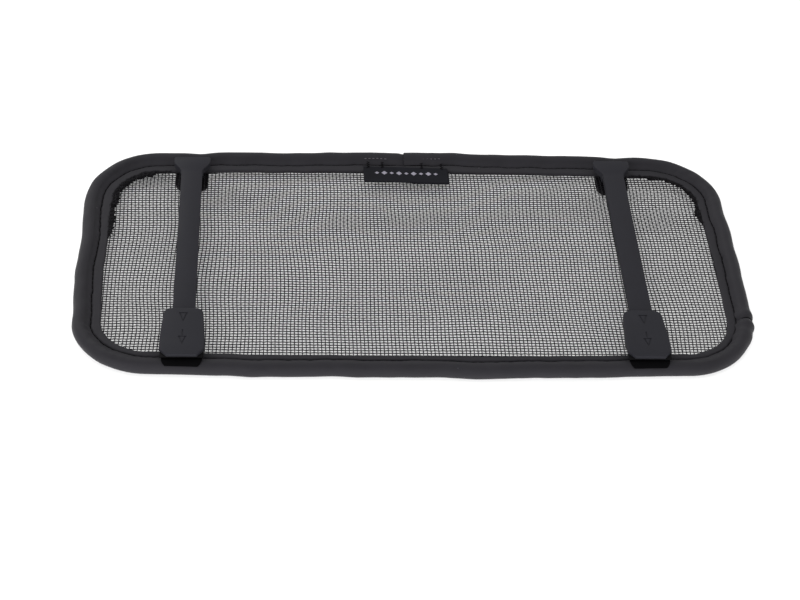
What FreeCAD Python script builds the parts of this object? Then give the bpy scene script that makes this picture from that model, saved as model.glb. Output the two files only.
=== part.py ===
import FreeCAD, Part
import math
import os
import Sketcher
from FreeCAD import Placement, Rotation, Vector

# Insect screen for a boat's opening portlight.  A fabric-bound bead round a spring-wire hoop
# holds a woven mesh.  Two moulded straps cross the mesh; each ends in a thumb latch that slides
# out past the rim.  Millimetres.  Origin: middle of the screen, on the surface it lies on.
# +X runs along the screen, +Y towards the strap heads, +Z up from the mesh towards the straps.

doc = FreeCAD.newDocument("portlight_screen")

# ---------------------------------------------------------------- driving dimensions
SIZES = [
    ("overall_width", 284, "outside of the rim, end to end"),
    ("overall_depth", 151, "outside of the rim, front to back"),
    ("end_bow_radius", 3000, "long sides bow outwards on this radius"),
    ("side_bow_radius", 830, "short sides bow outwards on this radius"),
    ("corner_radius", 32, "rim corners, outside"),
    ("rim_radius", 3.2, "bead section"),
    ("rim_sink", 0.2, "depth to which the bead is pressed flat where it rests"),
    ("binding_thickness", 0.5, "coated fabric"),
    ("hem_width", 5.8, "web and flat hem inside the bead"),
    ("mesh_thickness", 0.6, "woven mesh, over its thread crossings"),
    ("wire_diameter", 3, "spring-wire hoop in the bead"),
    ("wire_gap", 1, "between the hoop's two ends"),
    ("ferrule_diameter", 4.6, "sleeve that joins the hoop's ends"),
    ("ferrule_length", 18, "the same sleeve"),
    ("back_joint_offset", 0.8, "binding joint on the back, right of the middle"),
    ("side_joint_drop", 43, "binding joint on the right side, in front of the middle"),
    ("joint_gap", 0.2, "between the binding's two lengths"),
    ("stitch_diameter", 0.5, "sewing thread"),
    ("stitch_inset", 1.3, "seam line, from the foot of the bead"),
    ("tack_length", 1.1, "one stitch of the back joint's tacks"),
    ("tack_pitch", 1.8, "between those stitches"),
    ("tack_spread", 7.5, "first stitch of each row, from the joint"),
    ("label_width", 38, "sewn label"),
    ("label_depth", 11.8, "sewn label"),
    ("label_thickness", 0.8, "folded tape"),
    ("label_offset", 1.3, "label's middle, right of the screen's middle"),
    ("label_lap", 1.5, "label's top edge, on to the hem"),
    ("strap_inset", 47.5, "strap centreline, from the end of the rim"),
    ("strap_width", 9.2, "strap"),
    ("strap_thickness", 2.6, "strap"),
    ("strap_rise", 2.2, "strap's top face above the bead's crest"),
    ("head_width", 16, "T-head at the back end of the strap"),
    ("head_depth", 5.2, "full-width part of the T-head"),
    ("head_flare", 6.2, "from the T-head's width down to the strap's"),
    ("end_clearance", 1.8, "strap's ends to the foot of the bead"),
    ("boss_width", 10, "block under the T-head"),
    ("boss_depth", 10.5, "block under the T-head"),
    ("foot_width", 8, "block under the strap's latch end"),
    ("foot_depth", 8.5, "block under the strap's latch end"),
    ("plate_width", 14.4, "clamp plates behind the hem"),
    ("plate_thickness", 1.2, "clamp plates"),
    ("head_plate_depth", 17, "clamp plate behind the T-head"),
    ("latch_plate_depth", 13, "clamp plate behind the latch end"),
    ("plate_corner", 5, "rounded inner end of the clamp plates"),
    ("screw_diameter", 2, "self-tapping screw"),
    ("screw_head_diameter", 4, "pan head"),
    ("screw_head_height", 0.7, "pan head"),
    ("screw_reach", 3, "screw's bite into boss and foot"),
    ("screw_clearance", 0.2, "on the radius, through cloth and plates"),
    ("screw_edge", 3.4, "outer screw, from the foot of the bead"),
    ("screw_pitch_head", 6, "between the two screws of a T-head"),
    ("screw_pitch_foot", 4.6, "between the two screws of a latch foot"),
    ("pad_length", 29, "thumb pad"),
    ("pad_back_width", 15.8, "thumb pad, at the strap side"),
    ("pad_width", 18.2, "thumb pad, widest"),
    ("pad_taper", 18, "length over which the pad widens"),
    ("pad_nose_width", 12.2, "thumb pad, at its front edge"),
    ("pad_chamfer", 3.6, "length of the cut-off front corners"),
    ("pad_skin", 0.75, "pad over the strap"),
    ("pad_edge_round", 0.5, "rounded top edge of the pad"),
    ("nose_setback", 0.6, "pad's front edge at rest, behind the bead's crest line"),
    ("tongue_thickness", 0.8, "latch tongue under the pad"),
    ("tongue_margin", 0.3, "tongue inside the pad's widest part"),
    ("tongue_arm", 4, "tongue's arms beside the strap"),
    ("keeper_thickness", 1.1, "plate that holds the latch on the strap"),
    ("keeper_width", 12.8, "same plate"),
    ("keeper_web", 5, "same plate, behind its slot"),
    ("slide_clearance", 0.2, "between the latch and what it slides on"),
    ("stop_gap", 0.1, "strap's end to the latch's stop at rest"),
    ("latch_travel", 6, "latch slides out by this"),
    ("saddle_width", 16.4, "wear saddle on the bead under the latch"),
    ("saddle_thickness", 0.7, "wear saddle, from the bead to its outside"),
    ("saddle_seat", 0.05, "glue line between the saddle and the bead"),
    ("saddle_wrap", 74, "degrees of the bead that the saddle covers"),
    ("saddle_lean", 44, "degrees from the horizontal to the saddle's outer edge"),
]

sheet = doc.addObject("Spreadsheet::Sheet", "sizes")
for row, (alias, number, note) in enumerate(SIZES, start=1):
    sheet.set(f"A{row}", str(number))
    sheet.setAlias(f"A{row}", alias)
    sheet.set(f"B{row}", note)
doc.recompute()


gauge = doc.addObject("App::FeaturePython", "gauge")
gauge.addProperty("App::PropertyFloat", "reading")


def size(alias):
    """A driving dimension as a number."""
    return float(sheet.get(alias))


def value(expression):
    """An expression of the sheet as a number."""
    gauge.setExpression("reading", expression)
    gauge.recompute()
    return gauge.reading


# ---------------------------------------------------------------- shared places, as expressions
RIM_MID = "(sizes.rim_radius - sizes.rim_sink)"
RIM_CREST = "(2 * sizes.rim_radius - sizes.rim_sink)"
HEM_HALF = "(sizes.binding_thickness + sizes.mesh_thickness / 2)"
HEM_TOP = f"({RIM_MID} + {HEM_HALF})"
HEM_BOTTOM = f"({RIM_MID} - {HEM_HALF})"
BEAD_FOOT = "(2 * sizes.rim_radius)"
STRAP_X = "(sizes.overall_width / 2 - sizes.strap_inset)"
STRAP_TOP = f"({RIM_CREST} + sizes.strap_rise)"
STRAP_BOTTOM = f"({STRAP_TOP} - sizes.strap_thickness)"
NOSE_BOTTOM = f"({RIM_CREST} + sizes.saddle_thickness + sizes.slide_clearance)"
TONGUE_TOP = f"({NOSE_BOTTOM} + sizes.tongue_thickness)"
CHANNEL_TOP = f"({STRAP_TOP} + sizes.slide_clearance)"
PAD_TOP = f"({CHANNEL_TOP} + sizes.pad_skin)"
KEEPER_TOP = f"({STRAP_BOTTOM} - sizes.slide_clearance)"


def long_side(inset):
    """Distance of a long side's arc from the X axis, on the strap's centreline."""
    reach = f"sqrt((sizes.end_bow_radius - {inset}) ^ 2 - {STRAP_X} ^ 2)"
    return f"(sizes.overall_depth / 2 - sizes.end_bow_radius + {reach})"


FOOT_Y = long_side(BEAD_FOOT)
CREST_Y = long_side("sizes.rim_radius")
STRAP_END = f"({FOOT_Y} - sizes.end_clearance)"
FOOT_BACK = f"({STRAP_END} - sizes.foot_depth)"
HEAD_NECK = f"({STRAP_END} - sizes.head_depth)"
HEAD_ROOT = f"({HEAD_NECK} - sizes.head_flare)"
NOSE_Y = f"({CREST_Y} - sizes.nose_setback)"
PAD_BACK = f"({NOSE_Y} - sizes.pad_length)"
WALL_END = f"({FOOT_Y} - sizes.latch_travel)"
CHANNEL_END = f"({STRAP_END} + sizes.stop_gap)"
SLOT_BACK = f"({FOOT_BACK} - sizes.latch_travel - sizes.slide_clearance)"


# ---------------------------------------------------------------- sketch helpers
def new_body(label):
    body = doc.addObject("PartDesign::Body", label)
    body.Label = label
    return body


def new_sketch(body, name, height="0", plane="XY_Plane"):
    """A sketch on one of the body's own origin planes, lifted by an expression."""
    base = [f for f in body.Origin.OriginFeatures if f.Role == plane][0]
    sketch = body.newObject("Sketcher::SketchObject", name)
    sketch.AttachmentSupport = (base, [""])
    sketch.MapMode = "FlatFace"
    sketch.setExpression("AttachmentOffset.Base.z", height)
    return sketch


def bind(sketch, constraint, name, expression):
    index = sketch.addConstraint(constraint)
    sketch.renameConstraint(index, name)
    sketch.setExpression(f"Constraints.{name}", expression)


def polygon(sketch, corners):
    """A closed polygon; each corner is a pair of expressions, counter-clockwise."""
    count = len(corners)
    start = [Vector(math.cos(turn), math.sin(turn)) for turn in
             (2 * math.pi * i / count for i in range(count))]
    for i in range(count):
        sketch.addGeometry(Part.LineSegment(start[i], start[(i + 1) % count]))
    for i in range(count):
        sketch.addConstraint(Sketcher.Constraint("Coincident", i, 2, (i + 1) % count, 1))
    for i, (along, across) in enumerate(corners):
        bind(sketch, Sketcher.Constraint("DistanceX", -1, 1, i, 1, start[i].x), f"x{i}", along)
        bind(sketch, Sketcher.Constraint("DistanceY", -1, 1, i, 1, start[i].y), f"y{i}", across)


def block(sketch, width, near, far):
    """A rectangle centred on the Y axis, from near to far along Y."""
    half = f"{width} / 2"
    polygon(sketch, [(f"-{half}", near), (half, near), (half, far), (f"-{half}", far)])


def circle(sketch, along, across, radius, tag=""):
    index = sketch.addGeometry(Part.Circle(Vector(1, 1, 0), Vector(0, 0, 1), 1))
    bind(sketch, Sketcher.Constraint("Radius", index, 1), f"radius{tag}", radius)
    if along == "0":
        sketch.addConstraint(Sketcher.Constraint("PointOnObject", index, 3, -2))
    else:
        bind(sketch, Sketcher.Constraint("DistanceX", -1, 1, index, 3, 1), f"along{tag}", along)
    bind(sketch, Sketcher.Constraint("DistanceY", -1, 1, index, 3, 1), f"across{tag}", across)


def rim_arcs():
    """The rim's outside as nine tangent arcs from the right side's middle: radius, centre, turn."""
    half_width, half_depth = size("overall_width") / 2, size("overall_depth") / 2
    side, end, corner = size("side_bow_radius"), size("end_bow_radius"), size("corner_radius")
    side_centre = Vector(half_width - side, 0)
    end_centre = Vector(0, half_depth - end)
    span = end_centre - side_centre
    along = ((side - corner) ** 2 - (end - corner) ** 2 + span.Length ** 2) / (2 * span.Length)
    unit = span.normalize()
    rise = math.sqrt((side - corner) ** 2 - along ** 2)
    centre = side_centre + unit * along + Vector(-unit.y, unit.x) * rise
    low = math.atan2(centre.y - side_centre.y, centre.x - side_centre.x)
    high = math.atan2(centre.y - end_centre.y, centre.x - end_centre.x)
    half, full = math.pi, 2 * math.pi
    return [
        ("side_bow_radius", side_centre, 0, low),
        ("corner_radius", centre, low, high),
        ("end_bow_radius", end_centre, high, half - high),
        ("corner_radius", Vector(-centre.x, centre.y), half - high, half - low),
        ("side_bow_radius", side_centre * -1, half - low, half + low),
        ("corner_radius", centre * -1, half + low, half + high),
        ("end_bow_radius", end_centre * -1, half + high, full - high),
        ("corner_radius", Vector(centre.x, -centre.y), full - high, full - low),
        ("side_bow_radius", side_centre, full - low, full),
    ]


def outline(sketch, inset, tag=""):
    """The rim's outline, moved inwards by an inset."""
    gap = value(inset)
    arcs = rim_arcs()
    first = sketch.GeometryCount
    for i, (alias, centre, begin, finish) in enumerate(arcs):
        ring_line = Part.Circle(centre, Vector(0, 0, 1), size(alias) - gap)
        sketch.addGeometry(Part.ArcOfCircle(ring_line, begin, finish))
    for i in range(len(arcs)):
        here, after = first + i, first + (i + 1) % len(arcs)
        sketch.addConstraint(Sketcher.Constraint("Tangent", here, 2, after, 1))
    for i, (alias, centre, begin, finish) in enumerate(arcs):
        constraint = Sketcher.Constraint("Radius", first + i, size(alias) - gap)
        bind(sketch, constraint, f"radius{tag}{i}", f"sizes.{alias} - {inset}")
    reaches = [
        (0, "DistanceX", -1, "sizes.side_bow_radius - sizes.overall_width / 2"),
        (4, "DistanceX", -1, "sizes.side_bow_radius - sizes.overall_width / 2"),
        (2, "DistanceY", -2, "sizes.end_bow_radius - sizes.overall_depth / 2"),
        (6, "DistanceY", -2, "sizes.end_bow_radius - sizes.overall_depth / 2"),
    ]
    for i, kind, axis, reach in reaches:
        sketch.addConstraint(Sketcher.Constraint("PointOnObject", first + i, 3, axis))
        to_origin = (first + i, 3, -1, 1) if i in (0, 2) else (-1, 1, first + i, 3)
        constraint = Sketcher.Constraint(kind, *to_origin, value(reach))
        bind(sketch, constraint, f"reach{tag}{i}", reach)
    sketch.addConstraint(Sketcher.Constraint("PointOnObject", first, 1, -1))


# ---------------------------------------------------------------- feature helpers
def pad(body, sketch, length):
    feature = body.newObject("PartDesign::Pad", f"{sketch.Name}_pad")
    feature.Profile = sketch
    feature.setExpression("Length", length)
    sketch.Visibility = False
    return feature


def pocket(body, sketch, length=None, upwards=False):
    """Cut a sketch out of the body; it has to remove something."""
    doc.recompute()
    before = body.Shape.Volume
    feature = body.newObject("PartDesign::Pocket", f"{sketch.Name}_cut")
    feature.Profile = sketch
    feature.Reversed = upwards
    if length is None:
        feature.Type = "ThroughAll"
    else:
        feature.setExpression("Length", length)
    doc.recompute()
    if body.Shape.Volume > before - 1e-6:
        raise RuntimeError(f"{feature.Name} cuts nothing")
    return feature


def ring(name, inset, radius, height=RIM_MID):
    """A round section all round the rim at an inset: one piece of torus for each arc."""
    lengths = []
    for i, (alias, centre, begin, finish) in enumerate(rim_arcs()):
        torus = doc.addObject("Part::Torus", f"{name}_{i}")
        torus.setExpression("Radius1", f"sizes.{alias} - {inset}")
        torus.setExpression("Radius2", radius)
        torus.Angle1, torus.Angle2, torus.Angle3 = -180, 180, math.degrees(finish - begin)
        turn = Rotation(Vector(0, 0, 1), math.degrees(begin))
        torus.Placement = Placement(Vector(centre.x, centre.y, value(height)), turn)
        lengths.append(torus)
    return fuse(name, lengths)


def fuse(label, shapes):
    result = doc.addObject("Part::MultiFuse", label)
    result.Shapes = shapes
    result.Label = label
    return result


def cylinder(name, radius, length, place):
    tool = doc.addObject("Part::Cylinder", name)
    tool.setExpression("Radius", radius)
    tool.setExpression("Height", length)
    for axis, expression in zip("xyz", place):
        tool.setExpression(f"Placement.Base.{axis}", expression)
    return tool


def box(name, extents, place):
    solid = doc.addObject("Part::Box", name)
    for side, expression in zip(("Length", "Width", "Height"), extents):
        solid.setExpression(side, expression)
    for axis, expression in zip("xyz", place):
        solid.setExpression(f"Placement.Base.{axis}", expression)
    return solid


def cut(label, base, tool):
    result = doc.addObject("Part::Cut", label)
    result.Base, result.Tool = base, tool
    result.Label = label
    return result


def group(label, members):
    result = doc.addObject("Part::Compound", label)
    result.Links = members
    result.Label = label
    return result


finished = []
SIDES = (("left", -1), ("right", 1))

# ---------------------------------------------------------------- clamp screws
# Two under each T-head and two under each latch foot, driven up through plate, hem and mesh.
shank_top = f"({HEM_TOP} + sizes.screw_reach)"
head_bottom = f"({HEM_BOTTOM} - sizes.plate_thickness - sizes.screw_head_height)"
outer_screw = f"({FOOT_Y} - sizes.screw_edge)"
SCREW_Y = {
    "head_outer": outer_screw,
    "head_inner": f"({outer_screw} - sizes.screw_pitch_head)",
    "foot_outer": f"-{outer_screw}",
    "foot_inner": f"-({outer_screw} - sizes.screw_pitch_foot)",
}
screws, bores = [], []
for side, sign in SIDES:
    for spot, screw_y in SCREW_Y.items():
        name = f"{side}_{spot}"
        at = (f"{sign} * {STRAP_X}", screw_y, head_bottom)
        shank = cylinder(f"{name}_shank", "sizes.screw_diameter / 2",
                         f"{shank_top} - {head_bottom}", at)
        head = cylinder(f"{name}_head", "sizes.screw_head_diameter / 2",
                        "sizes.screw_head_height", at)
        screw = doc.addObject("Part::Fuse", f"{name}_screw")
        screw.Base, screw.Tool = head, shank
        screws.append(screw)
        bore_radius = "sizes.screw_diameter / 2 + sizes.screw_clearance"
        bores.append(cylinder(f"{name}_bore", bore_radius, STRAP_TOP, at))
finished.append(group("plate_screws", screws))
screw_bores = group("screw_bores", bores)

# ---------------------------------------------------------------- hoop and ferrule
hoop = ring("hoop", "sizes.rim_radius", "sizes.wire_diameter / 2")
bead_y = "(sizes.overall_depth / 2 - sizes.rim_radius)"
opening = box("hoop_opening", ("sizes.wire_gap", BEAD_FOOT, RIM_CREST),
              ("-sizes.wire_gap / 2", "sizes.overall_depth / 2 - 2 * sizes.rim_radius", "0"))
finished.append(cut("frame_wire", hoop, opening))


def lying(tool):
    """Turn a cylinder to run along X, centred on the screen's middle."""
    tool.Placement.Rotation = Rotation(Vector(0, 1, 0), 90)
    return tool


ferrule_at = ("-sizes.ferrule_length / 2", bead_y, RIM_MID)
sleeve = lying(cylinder("sleeve", "sizes.ferrule_diameter / 2", "sizes.ferrule_length", ferrule_at))
sleeve_room = lying(cylinder("sleeve_room", "sizes.ferrule_diameter / 2",
                             "sizes.ferrule_length", ferrule_at))
finished.append(cut("wire_ferrule", sleeve, hoop))

# ---------------------------------------------------------------- foam bead
foam = ring("foam", "sizes.rim_radius", "sizes.rim_radius - sizes.binding_thickness")
bored_foam = cut("bored_foam", foam, hoop)
finished.append(cut("foam_bead", bored_foam, sleeve_room))

# ---------------------------------------------------------------- binding
# One tube of fabric round the bead and two plies that take the mesh between them, cut flat
# where it lies, then divided at its two joints.
hem_root = "(2 * sizes.rim_radius - sizes.binding_thickness / 2)"
hem_edge = f"({BEAD_FOOT} + sizes.hem_width)"
mesh_edge = f"({BEAD_FOOT} + sizes.stitch_inset / 4)"

tube = ring("binding_tube", "sizes.rim_radius", "sizes.rim_radius")
hem = new_body("hem")
plies = new_sketch(hem, "hem_plan", HEM_BOTTOM)
outline(plies, hem_root, "root")
outline(plies, hem_edge, "edge")
pad(hem, plies, f"{HEM_TOP} - {HEM_BOTTOM}")
slot = new_body("mesh_slot")
slot_plan = new_sketch(slot, "slot_plan", f"{HEM_BOTTOM} + sizes.binding_thickness")
outline(slot_plan, mesh_edge)
pad(slot, slot_plan, "sizes.mesh_thickness")
table = box("table", ("2 * sizes.overall_width", "2 * sizes.overall_depth", RIM_CREST),
            ("-sizes.overall_width", "-sizes.overall_depth", f"-{RIM_CREST}"))
solid_cover = fuse("solid_cover", [tube, hem])
cover = cut("cover", cut("slotted_cover", cut("hollow_cover", solid_cover, foam), slot), table)

drilled = cut("drilled_cover", cover, screw_bores)
joint_reach = ("sizes.overall_width", "2 * sizes.overall_depth", f"4 * {RIM_CREST}")
joint_x = "sizes.back_joint_offset"
joint_y = "-sizes.side_joint_drop"
right_part = box("right_part", joint_reach,
                 (f"{joint_x} + sizes.joint_gap", f"{joint_y} + sizes.joint_gap",
                  f"-{RIM_CREST}"))
right_room = box("right_room", joint_reach, (joint_x, joint_y, f"-{RIM_CREST}"))
finished.append(cut("binding_main", drilled, right_room))
binding_right = doc.addObject("Part::Common", "binding_right")
binding_right.Base, binding_right.Tool = drilled, right_part
binding_right.Label = "binding_right"
finished.append(binding_right)

# ---------------------------------------------------------------- mesh
screen = new_body("screen")
screen_plan = new_sketch(screen, "screen_plan", f"{HEM_BOTTOM} + sizes.binding_thickness")
outline(screen_plan, mesh_edge)
pad(screen, screen_plan, "sizes.mesh_thickness")
finished.append(cut("mesh_panel", screen, screw_bores))

# ---------------------------------------------------------------- stitching
finished.append(ring("hem_stitching", f"({BEAD_FOOT} + sizes.stitch_inset)",
                     "sizes.stitch_diameter / 2", f"({HEM_TOP} + sizes.stitch_diameter / 2)"))

TACK_COUNTS = ((-1, 6), (1, 5))
TACK_LEAN = 47
tacks = []
tack_reach = size("rim_radius") + size("stitch_diameter") / 2
tack_y = value(bead_y) - tack_reach * math.cos(math.radians(TACK_LEAN))
tack_z = value(RIM_MID) + tack_reach * math.sin(math.radians(TACK_LEAN))
for sign, count in TACK_COUNTS:
    for i in range(count):
        tack = doc.addObject("Part::Cylinder", "tack")
        tack.setExpression("Radius", "sizes.stitch_diameter / 2")
        tack.setExpression("Height", "sizes.tack_length")
        offset = size("tack_spread") + i * size("tack_pitch")
        start = size("back_joint_offset") + sign * offset - size("tack_length") / 2
        tack.Placement = Placement(Vector(start, tack_y, tack_z), Rotation(Vector(0, 1, 0), 90))
        tacks.append(tack)
finished.append(group("joint_tacks", tacks))

# ---------------------------------------------------------------- label
label_left = "(sizes.label_offset - sizes.label_width / 2)"
label_back = f"(sizes.overall_depth / 2 - {hem_edge} + sizes.label_lap)"
label_top = f"({HEM_TOP} + sizes.label_thickness)"
label = box("label_tag", ("sizes.label_width", "sizes.label_depth", "sizes.label_thickness"),
            (label_left, f"{label_back} - sizes.label_depth", HEM_TOP))
label.Label = "label_tag"
finished.append(label)

LABEL_STITCHES = 3
strokes = []
for corner in (0, 1):
    for i in range(LABEL_STITCHES):
        step = f"{i} * 2 * sizes.tack_length"
        along = f"{label_left} + {step}"
        if corner:
            along = f"{label_left} + sizes.label_width - sizes.tack_length - {step}"
        strokes.append(box(f"label_stroke_{corner}{i}",
                           ("sizes.tack_length", "sizes.stitch_diameter", "sizes.stitch_diameter"),
                           (along, f"{label_back} - 2 * sizes.stitch_diameter", label_top)))
finished.append(group("label_stitching", strokes))


# ---------------------------------------------------------------- strap hardware
def place(body, sign):
    """Stand a strap piece on its strap's centreline."""
    body.setExpression("Placement.Base.x", f"{sign} * {STRAP_X}")
    finished.append(body)


def edges_at(shape, height, tolerance=1e-3):
    """Names of the edges that lie flat at a height."""
    names = []
    for i, edge in enumerate(shape.Edges, start=1):
        limits = edge.BoundBox
        if abs(limits.ZMin - height) < tolerance and abs(limits.ZMax - height) < tolerance:
            names.append(f"Edge{i}")
    return names


def upright_edges(shape, test):
    names = []
    for i, edge in enumerate(shape.Edges, start=1):
        limits = edge.BoundBox
        if limits.ZLength > 1e-3 and max(limits.XLength, limits.YLength) < 1e-3 and test(limits):
            names.append(f"Edge{i}")
    return names


def round_edges(body, names, radius):
    before = body.Tip
    feature = body.newObject("PartDesign::Fillet", f"{body.Name}_round")
    feature.Base = (before, names)
    feature.setExpression("Radius", radius)
    body.Tip = feature
    doc.recompute()


def strap_bar(side, sign):
    """T-head, strap and the two blocks that stand on the hem."""
    bar = new_body(f"{side}_strap_bar")
    half, head = "sizes.strap_width / 2", "sizes.head_width / 2"
    plan = new_sketch(bar, f"{side}_bar_plan", STRAP_BOTTOM)
    polygon(plan, [(f"-{half}", f"-{STRAP_END}"), (half, f"-{STRAP_END}"), (half, HEAD_ROOT),
                   (head, HEAD_NECK), (head, STRAP_END), (f"-{head}", STRAP_END),
                   (f"-{head}", HEAD_NECK), (f"-{half}", HEAD_ROOT)])
    pad(bar, plan, "sizes.strap_thickness")
    boss = new_sketch(bar, f"{side}_boss_plan", HEM_TOP)
    block(boss, "sizes.boss_width", f"{STRAP_END} - sizes.boss_depth", STRAP_END)
    pad(bar, boss, f"{STRAP_BOTTOM} - {HEM_TOP}")
    foot = new_sketch(bar, f"{side}_foot_plan", HEM_TOP)
    block(foot, "sizes.foot_width", f"-{STRAP_END}", f"-{FOOT_BACK}")
    pad(bar, foot, f"{STRAP_BOTTOM} - {HEM_TOP}")
    pilots = new_sketch(bar, f"{side}_pilots", HEM_TOP)
    for i, screw_y in enumerate(SCREW_Y.values()):
        circle(pilots, "0", screw_y, "sizes.screw_diameter / 2", str(i))
    pocket(bar, pilots, "sizes.screw_reach", upwards=True)
    place(bar, sign)


def clamp_plate(side, sign, label, depth, end, spots):
    """A plate under the hem; end is +1 at the T-heads and -1 at the latches."""
    plate = new_body(f"{side}_{label}")
    plan = new_sketch(plate, f"{side}_{label}_plan", f"{HEM_BOTTOM} - sizes.plate_thickness")
    near, far = f"({STRAP_END} - {depth})", STRAP_END
    block(plan, "sizes.plate_width", *((near, far) if end > 0 else (f"-{far}", f"-{near}")))
    pad(plate, plan, "sizes.plate_thickness")
    holes = new_sketch(plate, f"{side}_{label}_holes", HEM_BOTTOM)
    for i, spot in enumerate(spots):
        circle(holes, "0", SCREW_Y[spot], "sizes.screw_diameter / 2 + sizes.screw_clearance", str(i))
    pocket(plate, holes)
    inner = end * value(near)
    names = upright_edges(plate.Shape, lambda limits: abs(limits.YMin - inner) < 1e-3)
    round_edges(plate, names, "sizes.plate_corner")
    place(plate, sign)


def thumb_pad(side, sign):
    """The cap that the thumb pushes: roof over the strap, walls beside it."""
    cap = new_body(f"{side}_thumb_pad")
    back, wide = "sizes.pad_back_width / 2", "sizes.pad_width / 2"
    nose = "sizes.pad_nose_width / 2"
    shoulder = f"({PAD_BACK} + sizes.pad_taper)"
    chamfer = f"({NOSE_Y} - sizes.pad_chamfer)"
    roof = new_sketch(cap, f"{side}_roof", TONGUE_TOP)
    polygon(roof, [(f"-{nose}", f"-{NOSE_Y}"), (nose, f"-{NOSE_Y}"), (wide, f"-{chamfer}"),
                   (wide, f"-{shoulder}"), (back, f"-{PAD_BACK}"), (f"-{back}", f"-{PAD_BACK}"),
                   (f"-{wide}", f"-{shoulder}"), (f"-{wide}", f"-{chamfer}")])
    pad(cap, roof, f"{PAD_TOP} - {TONGUE_TOP}")
    slope = f"({wide} - {back}) / sizes.pad_taper"
    wall_half = f"({back} + ({WALL_END} - {PAD_BACK}) * {slope})"
    walls = new_sketch(cap, f"{side}_walls", KEEPER_TOP)
    polygon(walls, [(f"-{wall_half}", f"-{WALL_END}"), (wall_half, f"-{WALL_END}"),
                    (back, f"-{PAD_BACK}"), (f"-{back}", f"-{PAD_BACK}")])
    pad(cap, walls, f"{TONGUE_TOP} - {KEEPER_TOP}")
    channel = new_sketch(cap, f"{side}_channel", CHANNEL_TOP)
    block(channel, "(sizes.strap_width + 2 * sizes.slide_clearance)", f"-{CHANNEL_END}",
          f"-{PAD_BACK} + 1")
    pocket(cap, channel)
    round_edges(cap, edges_at(cap.Shape, value(PAD_TOP)), "sizes.pad_edge_round")
    place(cap, sign)


def latch_tongue(side, sign):
    """A U-shaped plate under the front of the pad; its bridge is the part that hooks."""
    tongue = new_body(f"{side}_latch_tongue")
    outer = "(sizes.pad_width / 2 - sizes.tongue_margin)"
    inner = "(sizes.strap_width / 2 + 2 * sizes.slide_clearance)"
    arm = f"({CHANNEL_END} - sizes.tongue_arm)"
    plan = new_sketch(tongue, f"{side}_tongue_plan", NOSE_BOTTOM)
    polygon(plan, [(f"-{outer}", f"-{NOSE_Y}"), (outer, f"-{NOSE_Y}"), (outer, f"-{arm}"),
                   (inner, f"-{arm}"), (inner, f"-{CHANNEL_END}"), (f"-{inner}", f"-{CHANNEL_END}"),
                   (f"-{inner}", f"-{arm}"), (f"-{outer}", f"-{arm}")])
    pad(tongue, plan, "sizes.tongue_thickness")
    place(tongue, sign)


def latch_keeper(side, sign):
    """A fork that passes under the strap, either side of the foot, and closes the pad below."""
    keeper = new_body(f"{side}_latch_keeper")
    half = "sizes.keeper_width / 2"
    gap = "(sizes.foot_width / 2 + sizes.slide_clearance)"
    back = f"({SLOT_BACK} - sizes.keeper_web)"
    plan = new_sketch(keeper, f"{side}_keeper_plan", f"{KEEPER_TOP} - sizes.keeper_thickness")
    polygon(plan, [(f"-{half}", f"-{WALL_END}"), (f"-{gap}", f"-{WALL_END}"), (f"-{gap}", f"-{SLOT_BACK}"),
                   (gap, f"-{SLOT_BACK}"), (gap, f"-{WALL_END}"), (half, f"-{WALL_END}"),
                   (half, f"-{back}"), (f"-{half}", f"-{back}")])
    pad(keeper, plan, "sizes.keeper_thickness")
    place(keeper, sign)


def wear_saddle(side, sign):
    """A strip of the bead's own curve, square to the bead where the strap crosses it."""
    outer = doc.addObject("Part::Cylinder", f"{side}_saddle_outer")
    outer.setExpression("Radius", "sizes.rim_radius + sizes.saddle_thickness")
    outer.setExpression("Height", "sizes.saddle_width")
    outer.setExpression("Angle", "sizes.saddle_wrap")
    inner = doc.addObject("Part::Cylinder", f"{side}_saddle_inner")
    inner.setExpression("Radius", "sizes.rim_radius + sizes.saddle_seat")
    inner.setExpression("Height", "sizes.saddle_width")
    saddle = cut(f"{side}_wear_saddle", outer, inner)
    bow = math.degrees(math.asin(value(STRAP_X) / value("sizes.end_bow_radius - sizes.rim_radius")))
    along_bead = Rotation(Vector(0, 0, 1), sign * bow)
    on_end = Rotation(Vector(0, 1, 0), 90)
    first_edge = Rotation(Vector(0, 0, 1), 180 - size("saddle_lean"))
    turn = along_bead.multiply(on_end)
    half_width = Vector(0, 0, size("saddle_width") / 2)
    centre = Vector(sign * value(STRAP_X), -value(CREST_Y), value(RIM_MID))
    saddle.Placement = Placement(centre - turn.multVec(half_width), turn.multiply(first_edge))
    finished.append(saddle)


for side, sign in SIDES:
    strap_bar(side, sign)
    clamp_plate(side, sign, "head_plate", "sizes.head_plate_depth", 1,
                ("head_outer", "head_inner"))
    clamp_plate(side, sign, "latch_plate", "sizes.latch_plate_depth", -1,
                ("foot_outer", "foot_inner"))
    thumb_pad(side, sign)
    latch_tongue(side, sign)
    latch_keeper(side, sign)
    wear_saddle(side, sign)

# ---------------------------------------------------------------- check and write
doc.recompute()
for item in doc.Objects:
    if {"Invalid", "Error"} & set(item.State):
        raise RuntimeError(f"{item.Label} failed: {item.State}")
os.makedirs("parts", exist_ok=True)
for item in finished:
    if item.Shape.isNull() or not item.Shape.isValid():
        raise RuntimeError(f"{item.Label} has no valid shape")
    item.Shape.exportStep(f"parts/{item.Label}.step")
    limits = item.Shape.BoundBox
    print(f"{item.Label:22s} solids {len(item.Shape.Solids)}  volume {item.Shape.Volume:9.1f}  "
          f"x {limits.XMin:7.1f} {limits.XMax:6.1f}  y {limits.YMin:6.1f} {limits.YMax:6.1f}  "
          f"z {limits.ZMin:5.2f} {limits.ZMax:5.2f}")
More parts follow.
